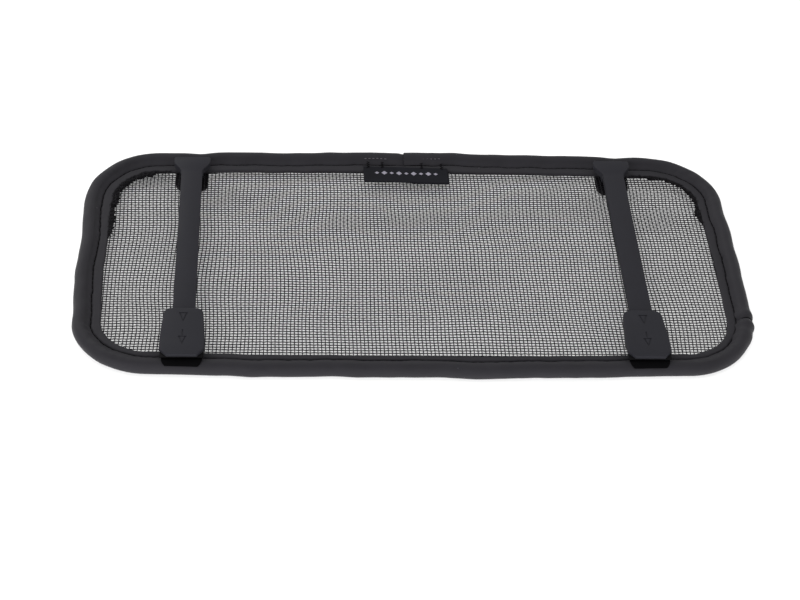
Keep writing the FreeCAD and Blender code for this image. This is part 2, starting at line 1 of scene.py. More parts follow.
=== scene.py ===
# %% [markdown]
# # An insect screen for a boat's portlight
#
# The part was designed in CAD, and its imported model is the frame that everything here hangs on.
# The real screen is soft where it matters: a cloth rim with creases, a woven mesh, thread, a
# folded label. CAD gave each of these a plain solid of the right size. This file puts the real
# surface in its place, piece by piece, and never moves a CAD piece.

import math
import random

import bmesh
import bpy
from mathutils import Matrix, Vector, noise


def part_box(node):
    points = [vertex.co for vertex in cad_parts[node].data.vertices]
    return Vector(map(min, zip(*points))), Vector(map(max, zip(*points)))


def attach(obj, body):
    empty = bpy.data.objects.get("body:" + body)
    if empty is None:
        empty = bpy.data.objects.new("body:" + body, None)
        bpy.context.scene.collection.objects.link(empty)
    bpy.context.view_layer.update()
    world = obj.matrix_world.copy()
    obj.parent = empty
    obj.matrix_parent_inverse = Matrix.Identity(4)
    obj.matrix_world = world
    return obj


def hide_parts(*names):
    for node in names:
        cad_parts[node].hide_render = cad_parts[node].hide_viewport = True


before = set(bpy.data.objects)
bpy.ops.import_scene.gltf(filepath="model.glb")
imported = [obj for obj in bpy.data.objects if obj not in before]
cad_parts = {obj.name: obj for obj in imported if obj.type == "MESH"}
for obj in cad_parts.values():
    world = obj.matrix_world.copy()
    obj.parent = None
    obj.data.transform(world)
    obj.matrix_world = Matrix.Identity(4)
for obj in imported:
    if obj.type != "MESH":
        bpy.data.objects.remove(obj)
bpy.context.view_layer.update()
scene = bpy.context.scene

# %% [markdown]
# ## Camera
#
# The screen lies flat and is looked down on from its front edge, from nearly a metre away through
# a long lens, so the sides stay almost parallel. A camera can be placed by its location and three
# Euler angles, but it is easier to reason about the direction that it looks back along. The three
# axes built from that direction are the columns of its rotation, and a small roll tilts the
# horizon. The last numbers say where the screen's middle stands as the camera sees it.

# %% Camera
elevation, azimuth, roll = (math.radians(angle) for angle in (39.43, -4.475, 3.206))
backward = Vector((math.sin(azimuth) * math.cos(elevation),
                   -math.cos(azimuth) * math.cos(elevation), math.sin(elevation)))
level = Vector((0, 0, 1)).cross(backward).normalized()
upright = backward.cross(level)
rightward = level * math.cos(roll) + upright * math.sin(roll)
upward = upright * math.cos(roll) - level * math.sin(roll)
turn = Matrix((rightward, upward, backward)).transposed()
screen_middle = Vector((0.00370, 0.01543, -0.8966))

camera_data = bpy.data.cameras.new("camera")
camera_data.lens = 93.84
camera_data.sensor_width = 36
camera = bpy.data.objects.new("camera", camera_data)
camera.matrix_world = Matrix.Translation(-(turn @ screen_middle)) @ turn.to_4x4()
scene.collection.objects.link(camera)
scene.camera = camera
print("camera at, mm:", [round(1000 * c) for c in camera.matrix_world.translation])

# %% [markdown]
# ## Floor and light
#
# A dark object on a white sweep is lit by large soft boxes, and the sweep is let burn out. Here
# one area light stands behind and above, a second fills from low in front, and a pale world
# closes the gaps. A third, straight above, washes the floor alone. Only the mesh shades it, so
# that the paper stays white up to the rim and is greyer where it is seen through the mesh.

# %% Floor
def link(thing):
    scene.collection.objects.link(thing)
    return thing


def baked(shape, name="scratch"):
    """A mesh made from a bmesh, which is freed."""
    mesh = bpy.data.meshes.new(name)
    shape.to_mesh(mesh)
    shape.free()
    return mesh


def moved(shape, x=0, y=0, z=0):
    bmesh.ops.translate(shape, verts=shape.verts, vec=(x, y, z))
    return shape


floor_shape = bmesh.new()
bmesh.ops.create_grid(floor_shape, x_segments=1, y_segments=1, size=3)
floor_mesh = baked(moved(floor_shape, z=-0.0002), "floor")
floor = link(bpy.data.objects.new("floor", floor_mesh))
floor_paper = bpy.data.materials.new("floor_paper")
floor_paper.use_nodes = True
paper = floor_paper.node_tree.nodes["Principled BSDF"]
paper.inputs["Base Color"].default_value = (0.9, 0.9, 0.9, 1)
paper.inputs["Roughness"].default_value = 0.9
paper.inputs["Specular IOR Level"].default_value = 0.1
floor_mesh.materials.append(floor_paper)
print("floor:", floor_paper.name)

# %% Lights
def softbox(name, place, target, width, watts):
    """A square area light that faces a target."""
    data = bpy.data.lights.new(name, "AREA")
    data.size = width
    data.energy = watts
    box = link(bpy.data.objects.new(name, data))
    box.location = place
    box.rotation_euler = (Vector(target) - Vector(place)).to_track_quat("-Z", "Y").to_euler()
    return box


softbox("softbox_back", (-0.7, 1.0, 0.8), (0, 0, 0), 0.7, 3.5)
softbox("softbox_front", (-0.7, -1.3, 0.45), (0, 0, 0), 1.2, 9)
floor_wash = softbox("floor_wash", (0, 0, 2), (0, 0, 0), 1.5, 33)
floor_wash.light_linking.receiver_collection = bpy.data.collections.new("washed")
floor_wash.light_linking.receiver_collection.objects.link(floor)
world = bpy.data.worlds.new("studio")
scene.world = world
world.use_nodes = True
world.node_tree.nodes["Background"].inputs["Color"].default_value = (1, 1, 1, 1)
world.node_tree.nodes["Background"].inputs["Strength"].default_value = 0.58
scene.view_settings.view_transform = "Standard"

# %% [markdown]
# ## Effects that several finishes share
#
# Nearly every surface here is black, and a black surface shows its make only in how its tone and
# gloss change over a fraction of a millimetre. Four such effects are node groups, made once:
# `grain` for the fine pebble of moulded plastic and coating, `weave` for cloth, `lint` for the
# specks that black cloth collects, and `rubbing` for the paler patches that handling leaves. A
# group takes coordinates and sizes, and gives back masks and heights, and the shader itself stays
# in each material.

# %% Small helpers for node trees
def new_group(name, inputs, outputs):
    """An empty shader node group, with its input and output nodes."""
    group = bpy.data.node_groups.new(name, "ShaderNodeTree")
    for label, kind, start in inputs:
        socket = group.interface.new_socket(name=label, in_out="INPUT", socket_type=kind)
        if start is not None:
            socket.default_value = start
    for label in outputs:
        group.interface.new_socket(name=label, in_out="OUTPUT", socket_type="NodeSocketFloat")
    return group, group.nodes.new("NodeGroupInput"), group.nodes.new("NodeGroupOutput")


def feed(tree, source, socket):
    """Link a socket, or set a plain value on it."""
    if isinstance(source, bpy.types.NodeSocket):
        tree.links.new(source, socket)
    else:
        socket.default_value = source


def maths(tree, operation, first, second=0.0, clamp=False):
    """A Math node of any operation; returns its result."""
    node = tree.nodes.new("ShaderNodeMath")
    node.operation = operation
    node.use_clamp = clamp
    feed(tree, first, node.inputs[0])
    feed(tree, second, node.inputs[1])
    return node.outputs[0]


def noise_of(tree, vector, scale, detail=2.0, roughness=0.5):
    """A Noise texture; returns its value."""
    node = tree.nodes.new("ShaderNodeTexNoise")
    node.inputs["Detail"].default_value = detail
    node.inputs["Roughness"].default_value = roughness
    feed(tree, vector, node.inputs["Vector"])
    feed(tree, scale, node.inputs["Scale"])
    return node.outputs["Fac"]


def ramp_of(tree, value, low, high):
    """Stretches low..high to 0..1, clamped."""
    node = tree.nodes.new("ShaderNodeMapRange")
    node.inputs["From Min"].default_value = low
    node.inputs["From Max"].default_value = high
    feed(tree, value, node.inputs["Value"])
    return node.outputs["Result"]


# %% The four groups
grain, entry, leave = new_group("grain", [("Vector", "NodeSocketVector", None),
                                          ("Scale", "NodeSocketFloat", 2500.0)],
                                ["Height", "Mottle"])
fine = noise_of(grain, entry.outputs["Vector"], entry.outputs["Scale"], 3.0)
broad = noise_of(grain, entry.outputs["Vector"],
                 maths(grain, "MULTIPLY", entry.outputs["Scale"], 0.03), 4.0, 0.6)
grain.links.new(fine, leave.inputs["Height"])
grain.links.new(ramp_of(grain, broad, 0.3, 0.7), leave.inputs["Mottle"])

weave, entry, leave = new_group("weave", [("Vector", "NodeSocketVector", None),
                                          ("Threads", "NodeSocketFloat", 2600.0)],
                                ["Height"])
apart = weave.nodes.new("ShaderNodeSeparateXYZ")
weave.links.new(entry.outputs["Vector"], apart.inputs["Vector"])
per_metre = maths(weave, "MULTIPLY", entry.outputs["Threads"], math.pi)
across = maths(weave, "SINE", maths(weave, "MULTIPLY", apart.outputs["X"], per_metre))
along = maths(weave, "SINE", maths(weave, "MULTIPLY", apart.outputs["Y"], per_metre))
over_under = maths(weave, "MULTIPLY_ADD", maths(weave, "MULTIPLY", across, along), 0.5)
over_under.node.inputs[2].default_value = 0.5
weave.links.new(over_under, leave.inputs["Height"])

lint, entry, leave = new_group("lint", [("Vector", "NodeSocketVector", None),
                                        ("Scale", "NodeSocketFloat", 260.0),
                                        ("Share", "NodeSocketFloat", 0.06)], ["Mask"])
cells = lint.nodes.new("ShaderNodeTexVoronoi")
lint.links.new(entry.outputs["Vector"], cells.inputs["Vector"])
lint.links.new(entry.outputs["Scale"], cells.inputs["Scale"])
chosen = maths(lint, "LESS_THAN", noise_of(lint, cells.outputs["Position"], 900.0, 0.0),
                maths(lint, "ADD", entry.outputs["Share"], 0.25))
speck = ramp_of(lint, cells.outputs["Distance"], 0.07, 0.03)
lint.links.new(maths(lint, "MULTIPLY", chosen, speck), leave.inputs["Mask"])

rubbing, entry, leave = new_group("rubbing", [("Vector", "NodeSocketVector", None),
                                              ("Scale", "NodeSocketFloat", 60.0)], ["Mask"])
patches = ramp_of(rubbing, noise_of(rubbing, entry.outputs["Vector"],
                                    entry.outputs["Scale"], 5.0, 0.65), 0.52, 0.75)
broken = ramp_of(rubbing, noise_of(rubbing, entry.outputs["Vector"],
                                   maths(rubbing, "MULTIPLY", entry.outputs["Scale"], 24.0)),
                 0.4, 0.7)
rubbing.links.new(maths(rubbing, "MULTIPLY", patches, broken), leave.inputs["Mask"])
print("groups:", [group.name for group in bpy.data.node_groups])

# %% [markdown]
# ## Finishes
#
# Each finish starts from the same recipe: a base tone, a paler tone mixed in by the masks, and a
# bump from the heights. The numbers that make one differ from the next are its gloss, its sheen
# and which groups it uses. Gloss, sheen and specular level are the same all over a surface, so
# they are set on the shader and not wired.

# %% The recipe
def use(tree, group, vector, **values):
    """A group node in a material's tree, fed with coordinates and values."""
    node = tree.nodes.new("ShaderNodeGroup")
    node.node_tree = group
    feed(tree, vector, node.inputs["Vector"])
    for label, amount in values.items():
        node.inputs[label].default_value = amount
    return node.outputs


def blended(tree, mask, dark, pale):
    """Two colours mixed by a mask."""
    node = tree.nodes.new("ShaderNodeMix")
    node.data_type = "RGBA"
    feed(tree, mask, node.inputs["Factor"])
    feed(tree, dark, node.inputs["A"])
    feed(tree, pale, node.inputs["B"])
    return next(socket for socket in node.outputs if socket.type == "RGBA")


def tone(level, warm=0.0):
    """A near-grey colour, slightly violet as faded black is; warm tips it from blue to red."""
    return (level * (1.04 + warm), level * 0.96, level * (1.12 - warm), 1)


def finish(name, level, pale, roughness, gloss=0.3, warm=-0.03, uv=False, metallic=0.0, sheen=0.0,
           threads=0, grain_scale=2500.0, bump=0.3, relief=0.00005, specks=0.0, spread=0.16):
    """A near-grey material from the shared effects."""
    material = bpy.data.materials.new(name)
    material.use_nodes = True
    tree = material.node_tree
    shader = tree.nodes["Principled BSDF"]
    for label, amount in (("Specular IOR Level", gloss), ("Metallic", metallic),
                          ("Sheen Weight", sheen), ("Sheen Roughness", 0.6)):
        shader.inputs[label].default_value = amount
    places = tree.nodes.new("ShaderNodeTexCoord")
    solid = places.outputs["Object"]
    surface = places.outputs["UV"] if uv else solid
    pebble = use(tree, grain, solid, Scale=grain_scale)
    height = pebble["Height"]
    if threads:
        cloth = use(tree, weave, surface, Threads=float(threads))
        height = maths(tree, "ADD", maths(tree, "MULTIPLY", cloth["Height"], 0.7),
                        maths(tree, "MULTIPLY", height, 0.3))
    rubbed = use(tree, rubbing, solid)["Mask"]
    shade = maths(tree, "ADD", maths(tree, "MULTIPLY", pebble["Mottle"], 0.6),
                   maths(tree, "MULTIPLY", rubbed, 0.6), clamp=True)
    if threads:
        shade = maths(tree, "ADD", shade, maths(tree, "MULTIPLY", cloth["Height"], 0.35),
                       clamp=True)
    colour = blended(tree, shade, tone(level, warm), tone(pale, warm))
    if specks:
        fluff = use(tree, lint, solid, Share=specks)["Mask"]
        colour = blended(tree, fluff, colour, tone(0.16))
    tree.links.new(colour, shader.inputs["Base Color"])
    tree.links.new(maths(tree, "ADD", maths(tree, "MULTIPLY", pebble["Mottle"], spread),
                          roughness - spread / 2), shader.inputs["Roughness"])
    dents = tree.nodes.new("ShaderNodeBump")
    dents.inputs["Strength"].default_value = bump
    dents.inputs["Distance"].default_value = relief
    tree.links.new(height, dents.inputs["Height"])
    tree.links.new(dents.outputs["Normal"], shader.inputs["Normal"])
    return material


# %% The finishes
coated_cloth = finish("coated_cloth", 0.023, 0.034, 0.62, gloss=0.17, uv=True, sheen=0.03,
                      threads=2700, bump=0.45, relief=0.00006, specks=0.05)
moulded_black = finish("moulded_black", 0.027, 0.035, 0.55, gloss=0.14, warm=-0.07,
                       grain_scale=3200.0, bump=0.35, relief=0.00004)
latch_black = finish("latch_black", 0.026, 0.034, 0.52, gloss=0.14, warm=-0.08,
                     grain_scale=3200.0, bump=0.35, relief=0.00004)
mesh_yarn = finish("mesh_yarn", 0.016, 0.026, 0.5, gloss=0.12, grain_scale=5000.0, bump=0.2)
torn_yarn = finish("torn_yarn", 0.0015, 0.009, 0.6, gloss=0.08, threads=900, bump=0.8,
                   relief=0.0002)
black_thread = finish("black_thread", 0.003, 0.007, 0.7, gloss=0.08, threads=5200, bump=0.5)
pale_thread = finish("pale_thread", 0.16, 0.30, 0.6, gloss=0.2, warm=0.02, threads=5200, bump=0.5)
label_tape = finish("label_tape", 0.011, 0.022, 0.75, gloss=0.08, warm=-0.10, threads=3600,
                    bump=0.7, relief=0.00008)
motif_silk = finish("motif_silk", 0.30, 0.52, 0.45, gloss=0.4, warm=-0.03, threads=4200, bump=0.6)
# Near-pure black: the clamp plates' own colour, and on the tongues painted shade for the shaded gap
# at the pad's cut corners.
plate_black_and_shade = finish("plate_black_and_shade", 0.003, 0.006, 0.5, gloss=0.08, bump=0.25)
# Near-pure black for the painted shadow of each tongue on the bead.
painted_shadow_black = finish("painted_shadow_black", 0.002, 0.004, 0.75, gloss=0.04, bump=0.3)
screw_steel = finish("screw_steel", 0.42, 0.6, 0.32, gloss=0.5, warm=0.02, metallic=1.0, bump=0.1)
spring_steel = finish("spring_steel", 0.32, 0.45, 0.35, gloss=0.5, metallic=1.0, bump=0.15)
ferrule_brass = finish("ferrule_brass", 0.50, 0.62, 0.35, gloss=0.5, warm=0.35, metallic=1.0,
                       bump=0.1)
print("finishes:", len(bpy.data.materials) - 1)

# %% [markdown]
# ## The rim's line
#
# Most pieces follow the rim, so its line comes first. Seen from above it is eight tangent arcs:
# two long sides and two ends that bow a little, and four corners. The arcs are listed from the
# binding's joint at the back, anticlockwise. A place on the rim is then one number, the distance
# run from that joint, and every point of the screen also has an inset from the rim's outside.
# From here to the end each piece is worked in millimetres and scaled to metres when it is done.

# %% The arcs
rim_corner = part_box("binding_main")[0] * 1000
HALF_WIDTH, HALF_DEPTH = -rim_corner.x, -rim_corner.y
BEAD = 3.2                      # the bead's radius
BEAD_MID = 3.0                  # its middle's height
SIDE_BOW, END_BOW, CORNER = 830.0, 3000.0, 32.0
BEAD_ROOT, SEAM, HEM_EDGE = 5.8, 8.2, 12.2      # insets: web's root, seam, hem's inner edge
BACK_JOINT_X, SIDE_JOINT_Y = 0.8, -43.0

side_centre = Vector((HALF_WIDTH - SIDE_BOW, 0))
end_centre = Vector((0, HALF_DEPTH - END_BOW))
span = end_centre - side_centre
step_along = ((SIDE_BOW - CORNER) ** 2 - (END_BOW - CORNER) ** 2
              + span.length ** 2) / (2 * span.length)
unit = span.normalized()
rise = math.sqrt((SIDE_BOW - CORNER) ** 2 - step_along ** 2)
corner_centre = side_centre + unit * step_along + Vector((-unit.y, unit.x)) * rise
low_turn = math.atan2(*(corner_centre - side_centre).yx)
high_turn = math.atan2(*(corner_centre - end_centre).yx)
first_turn = math.acos(BACK_JOINT_X / END_BOW)
flip_x = Vector((-corner_centre.x, corner_centre.y))
flip_y = Vector((corner_centre.x, -corner_centre.y))
HALF, FULL = math.pi, 2 * math.pi
ARCS = [(end_centre, END_BOW, first_turn, HALF - high_turn),
        (flip_x, CORNER, HALF - high_turn, HALF - low_turn),
        (-side_centre, SIDE_BOW, HALF - low_turn, HALF + low_turn),
        (-corner_centre, CORNER, HALF + low_turn, HALF + high_turn),
        (-end_centre, END_BOW, HALF + high_turn, FULL - high_turn),
        (flip_y, CORNER, FULL - high_turn, FULL - low_turn),
        (side_centre, SIDE_BOW, FULL - low_turn, FULL + low_turn),
        (corner_centre, CORNER, FULL + low_turn, FULL + high_turn),
        (end_centre, END_BOW, FULL + high_turn, FULL + first_turn)]
starts = [0.0]
for centre, radius, begin, stop in ARCS:
    starts.append(starts[-1] + (stop - begin) * (radius - BEAD))
RIM_LENGTH = starts[-1]
joint_turn = FULL + math.asin(SIDE_JOINT_Y / (SIDE_BOW - BEAD))
SIDE_JOINT = starts[6] + (joint_turn - ARCS[6][2]) * (SIDE_BOW - BEAD)
print(f"rim {2 * HALF_WIDTH:.0f} x {2 * HALF_DEPTH:.0f} mm, {RIM_LENGTH:.0f} mm round its bead")


# %% Places on the rim
def outward_at(run):
    """The centre and radius of the arc at a run, and the direction that is outwards there."""
    run = min(max(run, 0.0), RIM_LENGTH - 1e-6)
    i = next(i for i in range(len(ARCS)) if run < starts[i + 1])
    centre, radius, begin, stop = ARCS[i]
    angle = begin + (run - starts[i]) / (radius - BEAD)
    return centre, radius, Vector((math.cos(angle), math.sin(angle), 0))


def at_rim(run, inset, height=0.0):
    """The point at a run along the rim, an inset and a height."""
    centre, radius, outward = outward_at(run)
    return Vector((centre.x, centre.y, height)) + outward * (radius - inset)


def along_rim(x, y):
    """The run, the inset and the outward direction of a point of the screen."""
    best = None
    for i, (centre, radius, begin, stop) in enumerate(ARCS):
        dx, dy = x - centre.x, y - centre.y
        angle = math.atan2(dy, dx)
        while angle < begin - 1:
            angle += FULL
        outside = max(begin - angle, angle - stop, 0.0) * radius
        if best is None or outside < best[0] - 1e-9:
            reach = math.hypot(dx, dy)
            if abs(radius - reach) < 90:
                best = (outside, starts[i] + (angle - begin) * (radius - BEAD), radius - reach,
                        Vector((math.cos(angle), math.sin(angle), 0)))
    return best[1:]


HARDWARE_X = 94.5
HARDWARE_RUNS = [along_rim(side * HARDWARE_X, end * 72)[0] for side in (-1, 1) for end in (-1, 1)]
print("hardware at runs:", [round(run) for run in HARDWARE_RUNS])

# %% [markdown]
# ## How a sewn rim wanders
#
# A rim that is sewn by hand is never on its line. It drifts in and out by half a millimetre, and
# more where a clamp nips it. Random steps would tear it, so the drift is smooth noise along the
# run. It dies away at the straps' ends, where the moulded pieces hold the rim true, and everything
# that follows the rim asks the same function, so that stitches stay in their seam.

# %% Drift
def smooth_noise(x, y, z):
    """Noise from about -1 to 1 that changes slowly from place to place."""
    return noise.noise(Vector((x, y, z)))


def hump(distance, width):
    """1 at no distance, falling away to 0 over a width."""
    return math.exp(-(distance / width) ** 2)


def held(run):
    """0 at the straps' ends, 1 away from them."""
    return 1 - max(hump(run - spot, 13) for spot in HARDWARE_RUNS)


NIPS = [along_rim(x, 72)[0] for x in (-91, 97)]
RIM_SHIFT = 0.8


def drift(run):
    """How far the rim stands out at a run, in mm."""
    slow = smooth_noise(run / 34, 3.1, 0) * 1.25
    quick = smooth_noise(run / 12, 7.7, 2) * 0.5
    nips = sum(hump(run - spot, 5) - 0.5 * hump(run - spot + 12, 6) for spot in NIPS)
    return held(run) * (slow + quick) - 0.9 * nips


def laid(inset, outward):
    """Where a section's inset is really laid. The hem is widest at the back, the ends are sewn
    closer to the bead, and the whole rim stands a little to the right."""
    seam = SEAM - 0.95 * outward.x ** 2 - 0.35 * outward.x
    edge = HEM_EDGE + 0.8 * outward.y - 0.85 * outward.x ** 2 - 0.45 * outward.x
    if inset > SEAM:
        inset = seam + (inset - SEAM) * (edge - seam) / (HEM_EDGE - SEAM)
    elif inset > BEAD_ROOT:
        inset = BEAD_ROOT + (inset - BEAD_ROOT) * (seam - BEAD_ROOT) / (SEAM - BEAD_ROOT)
    return inset - RIM_SHIFT * outward.x


def cornering(run):
    """1 within a corner, 0 along the sides."""
    return max(hump(run - (starts[i] + starts[i + 1]) / 2, 24) for i in (1, 3, 5, 7))


print("drift, mm:", [round(drift(run), 2) for run in range(0, 800, 100)])

# %% [markdown]
# ## Making and handing over a piece
#
# A piece is finished the same way each time: scaled to metres, its normals made to point out, its
# faces smoothed up to a sharp angle, its material put on, and then hung on the body it rides on,
# with the CAD nodes that it stands for hidden. The object stays at the origin, because the place is
# already in the mesh.

# %% Hand over
def hand_over(name, shape, material, nodes=(), body="root", sharp=35):
    """Turns a bmesh in mm into a finished piece of the screen."""
    bmesh.ops.recalc_face_normals(shape, faces=shape.faces)
    bmesh.ops.scale(shape, verts=shape.verts, vec=(0.001, 0.001, 0.001))
    mesh = baked(shape, name)
    mesh.shade_smooth()
    mesh.set_sharp_from_angle(angle=math.radians(sharp))
    mesh.materials.append(material)
    piece = link(bpy.data.objects.new(name, mesh))
    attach(piece, body)
    if nodes:
        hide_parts(*nodes)
    print(f"{name}: {sum(len(face.vertices) - 2 for face in mesh.polygons)} triangles")
    return piece


def joined(*shapes):
    """Several closed shapes as one bmesh."""
    whole = bmesh.new()
    for shape in shapes:
        scratch = baked(shape)
        whole.from_mesh(scratch)
        bpy.data.meshes.remove(scratch)
    return whole


# %% [markdown]
# ## The binding
#
# The rim is a strip of coated cloth folded round a foam bead and sewn along the bead's foot, where
# its two edges make a flat hem that grips the mesh. A cloth simulation could wrap it, but the bead
# holds it almost everywhere, so the section is drawn once and swept: a loop of edges is spun about
# each arc's centre in turn. Its numbers are in order round the loop, and a second number, kept
# with each vertex, is how far round it lies, so that the weave can follow the cloth.

# %% The section
def section_points():
    """The binding's section as (inset, height), from under the hem, round the bead, to its top."""
    points = [(HEM_EDGE - 0.5, 2.25), (11.2, 2.2), (10.4, 2.2), (9.6, 2.2), (8.9, 2.22),
              (8.5, 2.4), (8.2, 2.6), (7.9, 2.4), (7.6, 2.1), (7.0, 1.75), (6.35, 1.35)]
    for i in range(27):
        angle = math.radians(-35 - i * 290 / 26)
        points.append((BEAD + BEAD * math.cos(angle), max(BEAD_MID + BEAD * math.sin(angle), 0.0)))
    points += [(6.35, 4.55), (6.9, 4.25), (7.4, 3.95), (7.75, 3.7), (7.95, 3.4), (8.12, 2.98),
               (8.28, 2.98), (8.45, 3.4), (8.65, 3.68), (9.0, 3.78), (9.6, 3.8), (10.4, 3.8),
               (11.2, 3.8), (HEM_EDGE - 0.5, 3.76), (HEM_EDGE - 0.15, 3.5), (HEM_EDGE, 3.0),
               (HEM_EDGE - 0.15, 2.5)]
    return points


print("points in the section:", len(section_points()))


# %% Sweeping along the rim
def sweep(shape, points, begin):
    """Stands a chain of (inset, height) points across the rim; returns its edges and its girth."""
    girth = shape.verts.layers.float.new("girth")
    chain, around = [], 0.0
    for i, point in enumerate(points):
        around += math.dist(points[i - 1], point) if i else 0.0
        vert = shape.verts.new(at_rim(begin, *point))
        vert[girth] = around
        chain.append(vert)
    return [shape.edges.new(pair) for pair in zip(chain, chain[1:])], girth, around


def carry_on(shape, edges, begin, stop, step):
    """Carries a chain of edges along the rim by one spin for each arc."""
    for i, (centre, radius, turn_begin, turn_stop) in enumerate(ARCS):
        enter, leave_at = max(begin, starts[i]), min(stop, starts[i + 1])
        if leave_at - enter < 1e-6:
            continue
        made = bmesh.ops.spin(shape, geom=edges, cent=(centre.x, centre.y, 0), axis=(0, 0, 1),
                              angle=(leave_at - enter) / (radius - BEAD),
                              steps=max(2, round((leave_at - enter) / step)), use_merge=False)
        edges = [item for item in made["geom_last"] if isinstance(item, bmesh.types.BMEdge)]
    return edges


def sweep_binding(begin, stop):
    """One length of binding, closed at both ends, with its cloth mapped."""
    shape = bmesh.new()
    points = section_points()
    first, girth, around = sweep(shape, points, begin)
    around += math.dist(points[-1], points[0])
    shape.verts.ensure_lookup_table()
    first.append(shape.edges.new((shape.verts[len(points) - 1], shape.verts[0])))
    last = carry_on(shape, first, begin, stop, 0.75)
    tube_faces = list(shape.faces)
    uv = shape.loops.layers.uv.new("cloth")
    for face in tube_faces:
        rounds = [loop.vert[girth] for loop in face.loops]
        wraps = max(rounds) - min(rounds) > around / 2
        for loop, place in zip(face.loops, rounds):
            run = along_rim(loop.vert.co.x, loop.vert.co.y)[0]
            place += around if wraps and place < around / 2 else 0.0
            loop[uv].uv = (run / 1000, place / 1000)
    for ring in (first, last):
        cap = bmesh.ops.edgeloop_fill(shape, edges=ring)["faces"]
        bmesh.ops.triangulate(shape, faces=cap)
    return shape


# %% [markdown]
# ## Creases, puckers and joints
#
# A swept tube looks like plastic pipe. What makes it cloth is what the sewing does to it: every
# stitch pulls a small pit beside the seam, the cloth gathers into short ridges on the inside of
# the corners, and the two lengths do not quite match where they meet. All of these are moves of
# the vertices along and away from the bead, from a tenth of a millimetre to nearly one.

# %% The moves
STITCH_PITCH = 3.0
LAP = 1.4                       # the long length runs on over the short one


def wobble(run):
    """How far the seam strays from its line, in mm."""
    return 0.5 * smooth_noise(run / 9, 2.0, 5.0) + 0.3 * smooth_noise(run / 3, 6.0, 1.0)


def sewn_shift(place, swelling):
    """How far sewing moves a point of the swept binding, on a bead that swells by so much."""
    run, inset, outward = along_rim(place.x, place.y)
    angle = math.atan2(place.z - BEAD_MID, BEAD - inset)
    on_bead = inset < SEAM - 0.3
    shift = outward * drift(run) * (1.0 if on_bead else max(0.35, 1 - (inset - SEAM) / 6))
    shift += outward * (inset - laid(inset, outward) + wobble(run) * hump(inset - SEAM, 1.3))
    if on_bead:
        spoke = (outward * (BEAD - inset) + Vector((0, 0, place.z - BEAD_MID))) / BEAD
        ridges = smooth_noise(run / 2.6, angle * 0.8, 5.0)
        dents = smooth_noise(run / 7.0, angle * 1.1, 1.0)
        facing_in = max(0.0, math.cos(angle - 2.5))
        creased = 0.14 * dents + 0.3 * cornering(run) * facing_in * ridges
        if place.z < 0.4:
            spoke.z = 0.0
        shift += spoke * (creased * held(run) + swelling)
    else:
        pull = 0.5 + 0.5 * math.cos(FULL * run / STITCH_PITCH)
        pit = hump(inset - SEAM - 0.2, 0.5) * pull * 0.15
        ripple = 0.10 * smooth_noise(run / 5.0, inset / 3, 9.0) * held(run)
        upper = 1 if place.z > BEAD_MID else -1
        shift.z += -upper * pit + ripple
        if inset > HEM_EDGE - 1:
            shift += outward * 0.35 * smooth_noise(run / 8.0, 0.0, 4.0)
    return shift


def sew(shape, swell_at):
    """Moves a swept binding's vertices; swell_at maps a run to the bead's swelling in mm."""
    for vert in shape.verts:
        vert.co += sewn_shift(vert.co, swell_at(along_rim(vert.co.x, vert.co.y)[0]))


def main_swelling(run):
    """The long length rises from its lapping end in two soft waves, and is nipped at the back."""
    lip = SIDE_JOINT + LAP - run
    waves = 0.7 * hump(lip - 3.0, 1.8) + 0.4 * hump(lip - 9.5, 3.5) - 0.25 * hump(lip, 1.2)
    return waves - 0.5 * hump(run, 1.8)


def right_swelling(run):
    """The short length bulges behind the lap and is tucked in under it, and is proud at the back."""
    behind = run - SIDE_JOINT - LAP
    bulge = 0.5 * hump(behind - 3.4, 2.3) - 0.95 * hump(behind + 0.6, 1.9)
    return 0.3 * hump(RIM_LENGTH - run, 14) + bulge


# %% The two lengths of binding
main_cloth = sweep_binding(0.02, SIDE_JOINT + LAP)
sew(main_cloth, main_swelling)
binding_main = hand_over("binding_main_cloth", main_cloth, coated_cloth,
                         ["binding_main", "foam_bead"], sharp=60)
right_cloth = sweep_binding(SIDE_JOINT, RIM_LENGTH - 0.02)
sew(right_cloth, right_swelling)
binding_right = hand_over("binding_right_cloth", right_cloth, coated_cloth,
                          ["binding_right"], sharp=60)

# %% [markdown]
# ## Thread
#
# A stitch is a short length of thread that comes up through one hole and goes down the next. It
# could be a bent cylinder, but a curve with a round bevel is simpler: a few points for each
# stitch, many stitches in one curve, and one conversion to a mesh at the end. Six sides are
# enough at this size, because there are hundreds.

# %% A line of stitches
def sewn(name, runs, thickness, material, nodes=(), body="root"):
    """A mesh of many short threads; each run is a list of points in mm."""
    data = bpy.data.curves.new(name, "CURVE")
    data.dimensions = "3D"
    data.bevel_depth = thickness / 2
    data.bevel_resolution = 1
    data.use_fill_caps = True
    for run in runs:
        spline = data.splines.new("POLY")
        spline.points.add(len(run) - 1)
        for point, place in zip(spline.points, run):
            point.co = (*place, 1)
    holder = bpy.data.objects.new(name, data)
    shape = bmesh.new()
    shape.from_mesh(bpy.data.meshes.new_from_object(holder))
    bpy.data.objects.remove(holder)
    bmesh.ops.remove_doubles(shape, verts=shape.verts, dist=1e-4)
    return hand_over(name, shape, material, nodes, body, sharp=80)


VALLEY_TOP, VALLEY_LOW = 3.38, 2.42     # heights of the thread above and below the hem


def seam_stitch(run, level, upper):
    """Up through the cloth, along the valley, and down again."""
    points = []
    for share, sink in ((0.0, 0.5), (0.1, 0.12), (0.5, 0.0), (0.9, 0.12), (1.0, 0.5)):
        here = run + share * (STITCH_PITCH - 0.45)
        outward = outward_at(here)[2]
        place = at_rim(here, laid(SEAM, outward), level - upper * sink)
        points.append(place + outward * (drift(here) * 0.95 + wobble(here)))
    return points


